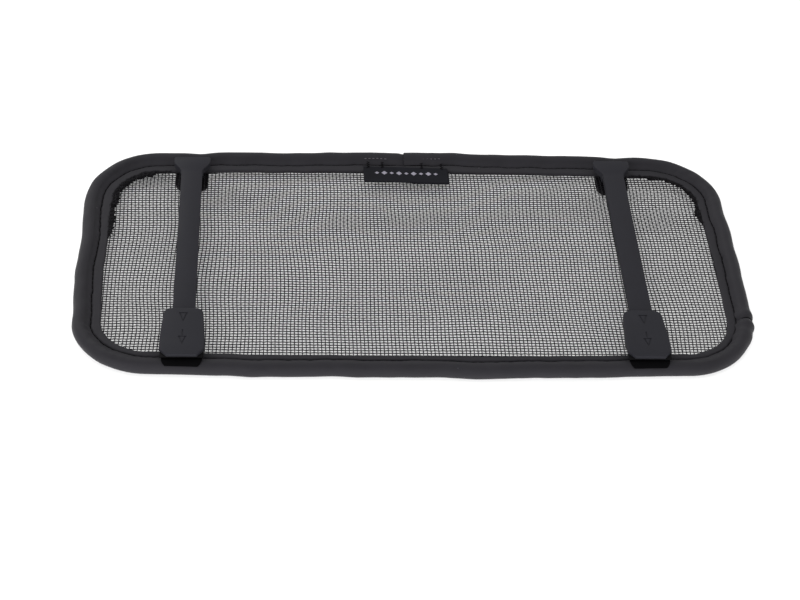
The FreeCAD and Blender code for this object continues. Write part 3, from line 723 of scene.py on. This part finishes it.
holes = [i * STITCH_PITCH + 0.3 for i in range(int(RIM_LENGTH / STITCH_PITCH))]
top_seam = [seam_stitch(run, VALLEY_TOP, 1) for run in holes]
under_seam = [seam_stitch(run + 0.2, VALLEY_LOW, -1) for run in holes]
# The thread over the lap is partly a real closing stitch and partly painted shade: its black draws
# the dark line of the shaded step where the long length runs over the short one.
lap_thread_and_shade = []
for i in range(16):
    climb, ahead = math.radians(5 + 8 * i), SIDE_JOINT + LAP - 0.1
    place = at_rim(ahead, BEAD * (1 - math.cos(climb)), BEAD_MID + BEAD * math.sin(climb))
    lap_thread_and_shade.append(place + sewn_shift(place, 0.06 + main_swelling(ahead)))
sewn("hem_stitches", [*top_seam, *under_seam, lap_thread_and_shade], 0.42, black_thread,
     ["hem_stitching"])
print(len(holes), "stitches each side of the hem")

# %% The tacks at the back joint
tacks = []
for first_x, count in ((-16.6, 6), (9.6, 5)):
    for i in range(count):
        x = first_x + i * 1.8
        run, _, outward = along_rim(x, 70)
        lean = math.radians(44 + 6 * smooth_noise(x, 0, 0))
        foot = at_rim(run, BEAD, BEAD_MID) + outward * drift(run)
        spoke = Vector((0, 0, math.sin(lean))) - outward * math.cos(lean)
        slant = Vector((0.25 * smooth_noise(x, 5, 0), 0, 0))
        along = Vector((-outward.y, outward.x, 0.5 * smooth_noise(x, 5, 0)))
        tacks.append([foot + spoke * (BEAD + lift) + along * side
                      for side, lift in ((-0.42, -0.2), (-0.28, 0.1), (0, 0.17), (0.28, 0.1),
                                         (0.42, -0.2))])
sewn("joint_tack_threads", tacks, 0.24, pale_thread, ["joint_tacks"])

# %% [markdown]
# ## The mesh
#
# The mesh is real geometry, since the floor shows through it: threads sixteen to the inch, both
# ways, passing over and under. One thread is a triangle spun with no angle and a step at a time,
# which is a straight extrusion with a ring at every crossing, and a second spin of the same kind
# copies it across. The rings are then lifted and lowered in turn. Three sides to a thread keep it
# under the limit on triangles.

# %% Weaving
PITCH = 25.4 / 16
THREAD = 0.245                  # from a thread's middle to its three corners
MESH_MID, MESH_CUT = 3.0, 9.3     # its middle's height, and the inset where it is cut
WEAVE_LIFT = 0.12


def threads(across):
    """All the threads that run one way, laid straight; across swaps X and Y."""
    shape = bmesh.new()
    reaches = (HALF_DEPTH, HALF_WIDTH) if across else (HALF_WIDTH, HALF_DEPTH)
    columns, rings = (2 * round(reach / PITCH) for reach in reaches)
    corners = [shape.verts.new((THREAD * math.cos(FULL * i / 3 + HALF / 2), 0,
                                THREAD * math.sin(FULL * i / 3 + HALF / 2))) for i in range(3)]
    ring = [shape.edges.new((corners[i], corners[(i + 1) % 3])) for i in range(3)]
    bmesh.ops.spin(shape, geom=ring, cent=(0, 0, 0), axis=(0, 0, 1), dvec=(0, PITCH, 0), angle=0,
                   steps=rings, use_merge=False)
    bmesh.ops.spin(shape, geom=shape.verts[:] + shape.edges[:] + shape.faces[:], cent=(0, 0, 0),
                   axis=(0, 0, 1), dvec=(PITCH, 0, 0), angle=0, steps=columns, use_duplicate=True)
    moved(shape, -columns * PITCH / 2, -rings * PITCH / 2)
    for vert in shape.verts:
        column, ring_number = (round(vert.co.x / PITCH), round(vert.co.y / PITCH))
        over = 1 if (column + ring_number) % 2 else -1
        vert.co.z += over * WEAVE_LIFT * (1 if across else -1)
    if across:
        bmesh.ops.rotate(shape, verts=shape.verts, cent=(0, 0, 0),
                         matrix=Matrix.Rotation(-HALF / 2, 3, "Z"))
    return shape


def weave_pull(x, y):
    """How far the cloth is dragged out of true at a point, in mm."""
    across = smooth_noise(x / 46, y / 38, 1.0) * 1.7 + smooth_noise(x / 15, y / 20, 6.0) * 0.35
    along = smooth_noise(x / 60, y / 30, 3.0) * 1.3 + smooth_noise(x / 18, y / 14, 8.0) * 0.3
    sag = smooth_noise(x / 50, y / 40, 11.0) * 0.5
    return Vector((across, along, sag))


woven = joined(threads(across=False), threads(across=True))
beyond = [vert for vert in woven.verts
          if along_rim(vert.co.x - RIM_SHIFT, vert.co.y)[1] < MESH_CUT]
bmesh.ops.delete(woven, geom=beyond, context="VERTS")
for vert in woven.verts:
    inset = along_rim(vert.co.x, vert.co.y)[1]
    calm = min(1.0, (inset - 9.0) / 16)
    vert.co += weave_pull(vert.co.x, vert.co.y) * calm + Vector((0, 0, MESH_MID))
mesh_cloth = hand_over("mesh_cloth", woven, mesh_yarn, ["mesh_panel"], sharp=180)

# %% [markdown]
# ## Gathered edge of the mesh
#
# At the two back corners the mesh was folded over before it was sewn, and its cut edge shows inside
# the hem as a ragged black band. It is a narrow strip along the rim, its free edge pulled into
# teeth a thread apart, crumpled in height, and given the thickness of a few threads. Loose ends
# of yarn lie over it, scattered by a seeded random number.

# %% The ragged folds
def ragged_fold(name, begin, stop, reach, seed):
    shape = bmesh.new()
    root, step = HEM_EDGE - 0.7, 0.5
    points = [(root + i * step, 3.45) for i in range(8)]
    sweep(shape, points, begin)
    carry_on(shape, shape.edges[:], begin, stop, 0.4)
    for vert in shape.verts:
        run, inset, outward = along_rim(vert.co.x, vert.co.y)
        share = (inset - root) / (7 * step)
        ends = min(1.0, (run - begin) / 9, (stop - run) / 9)
        slow = smooth_noise(run / 8, seed, 0)
        teeth = smooth_noise(run / 0.9, seed, 3) + smooth_noise(run / 2.6, seed, 7)
        width = 0.7 + max(0.0, ends * reach * (1 + 0.8 * slow + 0.55 * teeth))
        vert.co += outward * (inset - laid(root, outward) - share * width + drift(run) * 0.5)
        vert.co.z += 0.7 * share * smooth_noise(run / 1.2, inset / 1.2, seed) - 0.15 * share
    bmesh.ops.solidify(shape, geom=shape.faces[:], thickness=0.22)
    return hand_over(name, shape, torn_yarn, sharp=50)


left_begin, left_stop = along_rim(-104, 64)[0], along_rim(-134, 12)[0]
right_begin, right_stop = along_rim(133, 22)[0], along_rim(103, 64)[0]
folds = [ragged_fold("mesh_fold_left", left_begin, left_stop, 1.9, 2.0),
         ragged_fold("mesh_fold_left_under", left_begin + 2, left_stop - 8, 2.5, 8.0),
         ragged_fold("mesh_fold_right", right_begin, right_stop, 1.7, 4.0)]

# %% Frayed ends
fray = random.Random(5)
strands = []
for begin, stop, count in ((left_begin, left_stop, 170), (right_begin, right_stop, 70)):
    for _ in range(count):
        run, inset = fray.uniform(begin, stop), HEM_EDGE + fray.uniform(-0.9, 1.3)
        outward = outward_at(run)[2]
        along = Vector((-outward.y, outward.x, 0))
        foot = at_rim(run, laid(inset, outward), fray.uniform(3.6, 4.0)) + outward * drift(run) * 0.5
        reach = along * fray.uniform(-1.6, 1.6) - outward * fray.uniform(0.0, 1.2)
        strands.append([foot, foot + reach * 0.5 + Vector((0, 0, fray.uniform(0.1, 0.5))),
                        foot + reach - Vector((0, 0, fray.uniform(0.0, 0.4)))])
folds.append(sewn("mesh_frayed_ends", strands, 0.26, mesh_yarn))
floor_wash.light_linking.blocker_collection = bpy.data.collections.new("shading")
floor_wash.light_linking.blocker_collection.objects.link(mesh_cloth)

# %% [markdown]
# ## Moulded pieces
#
# The straps, pads and plates are flat mouldings: an outline with a thickness and softened edges.
# Each is one face drawn through a few corners, extruded upwards and bevelled. A helper does this
# for an outline whose corners are in order, and another bevels only the edges that pass a test,
# because a moulding's radii differ: generous where a hand meets it, small everywhere else.

# %% Plates from outlines
def thicken(shape, height):
    """Extrudes every face straight up, or down where the height is negative, to a closed shape."""
    made = bmesh.ops.extrude_face_region(shape, geom=shape.faces[:])["geom"]
    bmesh.ops.translate(shape, verts=[v for v in made if isinstance(v, bmesh.types.BMVert)],
                        vec=(0, 0, height))
    bmesh.ops.recalc_face_normals(shape, faces=shape.faces)
    return shape


def plank(outline, low, high):
    """A closed plate from (x, y) corners, between two heights."""
    shape = bmesh.new()
    shape.faces.new([shape.verts.new((x, y, low)) for x, y in outline])
    return thicken(shape, high - low)


def bevel(shape, edges, radius, segments):
    bmesh.ops.bevel(shape, geom=edges, offset=radius, offset_type="OFFSET", affect="EDGES",
                    segments=segments, profile=0.5, material=-1, clamp_overlap=True)
    return shape


def soften(shape, radius, segments, test=lambda co: True):
    """Bevels the edges whose two ends pass a test."""
    edges = [edge for edge in shape.edges if all(test(v.co) for v in edge.verts)]
    return bevel(shape, edges, radius, segments)


def round_corners(shape, radius, y, segments=7):
    """Rounds the upright edges that stand at a y."""
    edges = [edge for edge in shape.edges if all(abs(v.co.y - y) < 0.05 for v in edge.verts)
             and abs(edge.verts[0].co.z - edge.verts[1].co.z) > 0.3]
    return bevel(shape, edges, radius, segments)


def rectangle(left, right, front, back):
    return [(left, front), (right, front), (right, back), (left, back)]


def cut_with(shape, tool, operation="DIFFERENCE"):
    """Cuts or joins two closed shapes with a Boolean modifier, and gives back the result."""
    keep, cutter = (link(bpy.data.objects.new("scratch", baked(part))) for part in (shape, tool))
    modifier = keep.modifiers.new("cut", "BOOLEAN")
    modifier.operation = operation
    modifier.object = cutter
    modifier.solver = "EXACT"
    result = bmesh.new()
    result.from_object(keep, bpy.context.evaluated_depsgraph_get())
    for holder in (keep, cutter):
        bpy.data.objects.remove(holder)
    return result


SIDES = (("left", -HARDWARE_X), ("right", HARDWARE_X))


def both_sides(name, make, material, node, latched=False):
    """The same moulding at both straps; a latched one rides on its side's latch."""
    for side, x in SIDES:
        hand_over(f"{side}_{name}", moved(make(), x), material, [f"{side}_{node}"],
                  body=f"{side}_latch" if latched else "root", sharp=30)


# %% [markdown]
# ## Straps
#
# A strap is one moulding: a T-head that sits behind the bead at the back, a flat bar, and at the
# front an end that the latch slides on, with a block below it at each end. The head's back edge is
# rounded most, and catches the light. The bar is drawn as one outline, with the head's shoulders
# in it, and the two blocks are pushed a little into it so that no gap can show.

# %% Strap bars
STRAP_LOW, STRAP_HIGH, STRAP_END = 5.8, 8.4, 65.8
HEM_TOP, HEM_LOW = 3.8, 2.2


def strap():
    half, head, root, neck = 4.6, 8.0, 54.6, 62.2
    ease = [i / 8 for i in range(9)]
    shoulder = [(half + (head - half) * t * t * (3 - 2 * t), root + (neck - root) * t) for t in ease]
    bar = plank([(-half, -STRAP_END), (half, -STRAP_END), *shoulder, (head, STRAP_END),
                 (-head, STRAP_END), *((-x, y) for x, y in reversed(shoulder))],
                STRAP_LOW, STRAP_HIGH)
    round_corners(bar, 1.3, STRAP_END, 5)
    soften(bar, 1.1, 6, lambda co: co.z > STRAP_HIGH - 0.01 and co.y > STRAP_END - 1.4)
    soften(bar, 0.28, 2, lambda co: co.z > STRAP_HIGH - 0.01 and co.y < STRAP_END - 1.5)
    boss = soften(plank(rectangle(-5, 5, 55.3, STRAP_END - 0.1), HEM_TOP, STRAP_LOW + 0.2), 0.3, 2)
    foot = soften(plank(rectangle(-4, 4, -STRAP_END + 0.1, -57.3), HEM_TOP, STRAP_LOW + 0.2), 0.3, 2)
    return joined(bar, boss, foot)


both_sides("strap", strap, moulded_black, "strap_bar")

# %% [markdown]
# ## Latches
#
# A latch is a thumb pad on a square-cornered tongue. The pad's front corners are cut off, so the
# tongue shows beneath them, and its back is a channel that the strap runs in. Two marks are sunk
# in its top: a triangle at the strap's end and an arrow towards the rim. They could be a bump in
# the material, but a cut of three tenths of a millimetre takes real light and survives an export.

# %% Marks to sink
MARK_LOW, MARK_HIGH = 9.05, 9.7


def triangle_mark(half, base, point, line):
    """A triangle's outline with a line's width: the triangle less a smaller one."""
    inner_half = half - line * 1.9
    outer = plank([(-half, base), (0, point), (half, base)], MARK_LOW, MARK_HIGH)
    inner = plank([(-inner_half, base - line), (0, point + line * 1.6), (inner_half, base - line)],
                  MARK_LOW - 0.2, MARK_HIGH + 0.2)
    return cut_with(outer, inner)


# %% Thumb pads
PAD_LOW, ROOF_LOW, CHANNEL_TOP, PAD_HIGH = 5.6, 7.9, 8.6, 9.35
PAD_FRONT, PAD_BACK = -70.2, -41.2


def thumb_pad():
    back, wide, nose, shoulder, chamfer = 7.9, 9.1, 6.1, -59.2, PAD_FRONT + 3.6
    roof = plank([(-nose, PAD_FRONT), (nose, PAD_FRONT), (wide, chamfer), (wide, shoulder),
                  (back, PAD_BACK), (-back, PAD_BACK), (-wide, shoulder), (-wide, chamfer)],
                 ROOF_LOW, PAD_HIGH)
    round_corners(roof, 3.3, PAD_BACK)
    round_corners(roof, 3.0, shoulder)
    soften(roof, 0.5, 4, lambda co: co.z > PAD_HIGH - 0.01)
    wall_end = -61.3
    walls = plank([(0.2 - wide, wall_end), (wide - 0.2, wall_end), (wide - 0.2, shoulder - 1),
                   (back - 0.3, PAD_BACK - 0.3), (0.3 - back, PAD_BACK - 0.3),
                   (0.2 - wide, shoulder - 1)], PAD_LOW, ROOF_LOW + 0.3)
    body = cut_with(roof, round_corners(walls, 3.2, PAD_BACK - 0.3), "UNION")
    channel = plank(rectangle(-4.8, 4.8, -STRAP_END - 0.1, PAD_BACK + 2), PAD_LOW - 1, CHANNEL_TOP)
    body = cut_with(body, channel)
    body = cut_with(body, triangle_mark(1.85, -44.4, -50.0, 0.42))
    body = cut_with(body, plank(rectangle(-0.24, 0.24, -58.5, -55.1), MARK_LOW, MARK_HIGH))
    return cut_with(body, triangle_mark(1.75, -59.1, -63.8, 0.40))


both_sides("pad", thumb_pad, latch_black, "thumb_pad", latched=True)

# %% [markdown]
# The tongue and the keeper are plates with a slot, so each outline goes into its slot and out
# again. The keeper is the fork under the strap that holds the pad on. Neither is touched by a
# hand, and their edges are only just broken.

# %% Tongues and keepers
def tongue():
    outer, inner, arm, bridge = 8.8, 5.0, -61.9, -65.9
    return soften(plank([(-outer, PAD_FRONT), (outer, PAD_FRONT), (outer, arm), (inner, arm),
                         (inner, bridge), (-inner, bridge), (-inner, arm), (-outer, arm)],
                        7.1, 7.88), 0.14, 2)


def keeper():
    outer, inner, front, slot_end, back = 6.4, 4.2, -61.3, -51.1, -46.1
    return soften(plank([(-outer, front), (-inner, front), (-inner, slot_end), (inner, slot_end),
                         (inner, front), (outer, front), (outer, back), (-outer, back)],
                        4.5, 5.58), 0.2, 2)


# The tongue's near-pure black is painted shade where it shows at the pad's cut corners.
both_sides("tongue", tongue, plate_black_and_shade, "latch_tongue", latched=True)
both_sides("keeper", keeper, latch_black, "latch_keeper", latched=True)

# %% [markdown]
# ## Clamp plates and screws
#
# Behind the hem a black plate takes the screws at each end of a strap. Its inner end is rounded
# and shows through the mesh beside the strap. The screws are seen only from below: a pan head with
# a cross recess. The head is a profile spun once round, with its doubles merged, and the recess is
# two bars cut out of it. One screw is made, and seven copies.

# %% Clamp plates
HEAD_INNER, FOOT_INNER, PLATE_HALF, PLATE_LOW = 48.8, -52.8, 7.2, 1.0


def clamp_plate(front, back, inner):
    """A plate between two y, rounded at its inner end."""
    shape = plank(rectangle(-PLATE_HALF, PLATE_HALF, front, back), PLATE_LOW, HEM_LOW - 0.02)
    round_corners(shape, 5.0, inner)
    return soften(shape, 0.2, 2, lambda co: co.z < PLATE_LOW + 0.01)


both_sides("head_clamp", lambda: clamp_plate(HEAD_INNER, STRAP_END, HEAD_INNER), plate_black_and_shade,
           "head_plate")
both_sides("latch_clamp", lambda: clamp_plate(-STRAP_END, FOOT_INNER, FOOT_INNER), plate_black_and_shade,
           "latch_plate")


# %% Screws
def screw():
    """A pan-head screw that points up, its head's top at the bottom."""
    shape = bmesh.new()
    profile = [(0, 0.3), (1.1, 0.3), (1.6, 0.38), (1.92, 0.6), (2.0, 0.85), (2.0, 1.0), (0.95, 1.0),
               (0.95, 5.9), (0.5, 6.5), (0, 6.8)]
    verts = [shape.verts.new((x, 0, z)) for x, z in profile]
    edges = [shape.edges.new(pair) for pair in zip(verts, verts[1:])]
    bmesh.ops.spin(shape, geom=edges, cent=(0, 0, 0), axis=(0, 0, 1), angle=FULL, steps=28,
                   use_merge=True)
    bmesh.ops.remove_doubles(shape, verts=shape.verts, dist=1e-4)
    bmesh.ops.recalc_face_normals(shape, faces=shape.faces)
    for wide, deep in ((1.25, 0.24), (0.24, 1.25)):
        shape = cut_with(shape, plank(rectangle(-wide, wide, -deep, deep), 0.1, 0.68))
    return shape


screws = []
for _, x in SIDES:
    for y in (64.2, 58.2, -64.2, -59.6):
        one = moved(screw(), x)
        bmesh.ops.rotate(one, verts=one.verts, cent=(x, 0, 0),
                         matrix=Matrix.Rotation(0.9 * smooth_noise(x, y, 0), 3, "Z"))
        screws.append(moved(one, y=y))
hand_over("pan_screws", joined(*screws), screw_steel, ["plate_screws"], sharp=30)

# %% [markdown]
# ## Label
#
# The label is a woven tape, folded at its lower edge and tacked to the hem at its upper corners.
# It is a fine grid, bent by a small function that lifts its free edge off the mesh and lets it
# wave, then given one thickness for both plies. Its mark is a plain row of lozenges in pale silk,
# which ask the same function for their height. The tacks are zigzags of black thread.

# %% The label's tape
LABEL_LEFT, LABEL_RIGHT, LABEL_FRONT, LABEL_BACK = -17.7, 20.3, 53.0, 64.8


def label_lift(x, y):
    """Height of the label's top face over its lowest, in mm."""
    free = (LABEL_BACK - y) / (LABEL_BACK - LABEL_FRONT)
    wave = smooth_noise(x / 11, y / 14, 2.0)
    return 0.35 * free ** 2 + 0.35 * wave * (0.3 + 0.7 * free)


def askew(place):
    """The label is sewn on a little out of square."""
    place.y -= 0.03 * (place.x - LABEL_LEFT - 12)
    return place


def label_shape(thickness):
    shape = bmesh.new()
    bmesh.ops.create_grid(shape, x_segments=60, y_segments=18, size=1)
    width, depth = LABEL_RIGHT - LABEL_LEFT, LABEL_BACK - LABEL_FRONT
    bmesh.ops.scale(shape, verts=shape.verts, vec=(width / 2, depth / 2, 1))
    moved(shape, (LABEL_LEFT + LABEL_RIGHT) / 2, (LABEL_FRONT + LABEL_BACK) / 2)
    for vert in shape.verts:
        vert.co.z = HEM_TOP + 0.1 + thickness + label_lift(vert.co.x, vert.co.y)
    thicken(shape, -thickness)
    bevel(shape, [edge for edge in shape.edges if edge.calc_face_angle(0) > 1.2], 0.2, 2)
    for vert in shape.verts:
        vert.co = askew(vert.co)
    return shape


label = hand_over("label_tape_folded", label_shape(0.7), label_tape, ["label_tag"],
                  sharp=50)


# %% The label's mark and tacks
def lozenge(x, y, half_width, half_depth):
    shape = bmesh.new()
    corners = [(x - half_width, y), (x, y - half_depth), (x + half_width, y), (x, y + half_depth)]
    face = shape.faces.new([shape.verts.new((a, b, 0)) for a, b in corners])
    bmesh.ops.inset_region(shape, faces=[face], thickness=0.28)
    for vert in shape.verts:
        raised = abs(vert.co.x - x) / half_width + abs(vert.co.y - y) / half_depth < 0.95
        vert.co.z = HEM_TOP + 0.8 + label_lift(vert.co.x, vert.co.y) + (0.14 if raised else 0.03)
        vert.co = askew(vert.co)
    bmesh.ops.solidify(shape, geom=shape.faces[:], thickness=0.06)
    return shape


mark_middle, mark_y = (LABEL_LEFT + LABEL_RIGHT) / 2 + 0.2, 59.9
sizes = [(1.35, 1.45) if i % 2 else (1.0, 0.9) for i in range(9)]
lozenges = [lozenge(mark_middle + (i - 4) * 3.3, mark_y, *size) for i, size in enumerate(sizes)]
mark = hand_over("label_lozenges", joined(*lozenges), motif_silk, sharp=60)

zigzags = []
for x, lean in ((-15.6, 1), (-9.2, 1), (8.6, -1), (17.6, -1)):
    points = []
    for i in range(7):
        y = LABEL_BACK - 1.0 + i * 0.62
        z = HEM_TOP + 0.95 + label_lift(x, LABEL_BACK) + 0.12 * math.sin(3.0 * i)
        z += max(0, y - 64.6) * 0.15
        points.append(askew(Vector((x + lean * (0.55 if i % 2 else -0.55), y, z))))
    zigzags.append(points)
label_threads = sewn("label_tacks", zigzags, 0.4, black_thread, ["label_stitching"])

# %% [markdown]
# ## Painted shadow under the latches
#
# The tongue's shadow on the bead under each latch is painted: a near-black strip, a grid bent round
# the bead and thickened, a little narrower towards its lower edge.

# %% Painted shadow strips
SHADOW_LEAN, SHADOW_WRAP, SHADOW_WIDTH, SHADOW_OVER = 44, 74, 16.4, 0.66


def shadow_strip_shape():
    """Painted shadow: a near-black strip bent round the bead, from its lower outer edge over its
    top.
    """
    shape = bmesh.new()
    bmesh.ops.create_grid(shape, x_segments=30, y_segments=14, size=0.5)
    for vert in shape.verts:
        share = vert.co.y + 0.5
        climb = math.radians(SHADOW_LEAN + SHADOW_WRAP * share)
        x = SHADOW_WIDTH * vert.co.x * (1 - 0.2 * (1 - share) ** 3)
        run = along_rim(HARDWARE_X + x, -72)[0]
        reach = BEAD + SHADOW_OVER
        vert.co = at_rim(run, BEAD - reach * math.cos(climb), BEAD_MID + reach * math.sin(climb))
        vert.co.x -= HARDWARE_X
    bmesh.ops.recalc_face_normals(shape, faces=shape.faces)
    if sum(face.normal.z for face in shape.faces) < 0:
        bmesh.ops.reverse_faces(shape, faces=shape.faces)
    bmesh.ops.solidify(shape, geom=shape.faces[:], thickness=0.5)
    return shape


# Each strip is painted shadow on the bead under a tongue, and the CAD node that it replaces is
# hidden.
for side, x in SIDES:
    strip = shadow_strip_shape()
    if x < 0:
        bmesh.ops.scale(strip, verts=strip.verts, vec=(-1, 1, 1))
    hand_over(f"{side}_painted_shadow_strip", moved(strip, x), painted_shadow_black,
              [f"{side}_wear_saddle"], sharp=40)

# %% [markdown]
# ## Pieces kept from CAD
#
# The spring-wire hoop and its ferrule are inside the bead. Their CAD shapes are right, so each
# only gets its finish.

# %% Finishes for the kept pieces
kept = {"frame_wire": spring_steel, "wire_ferrule": ferrule_brass}
for name, material in kept.items():
    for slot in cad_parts[name].material_slots:
        slot.material = material
print("kept from CAD:", sorted(kept))
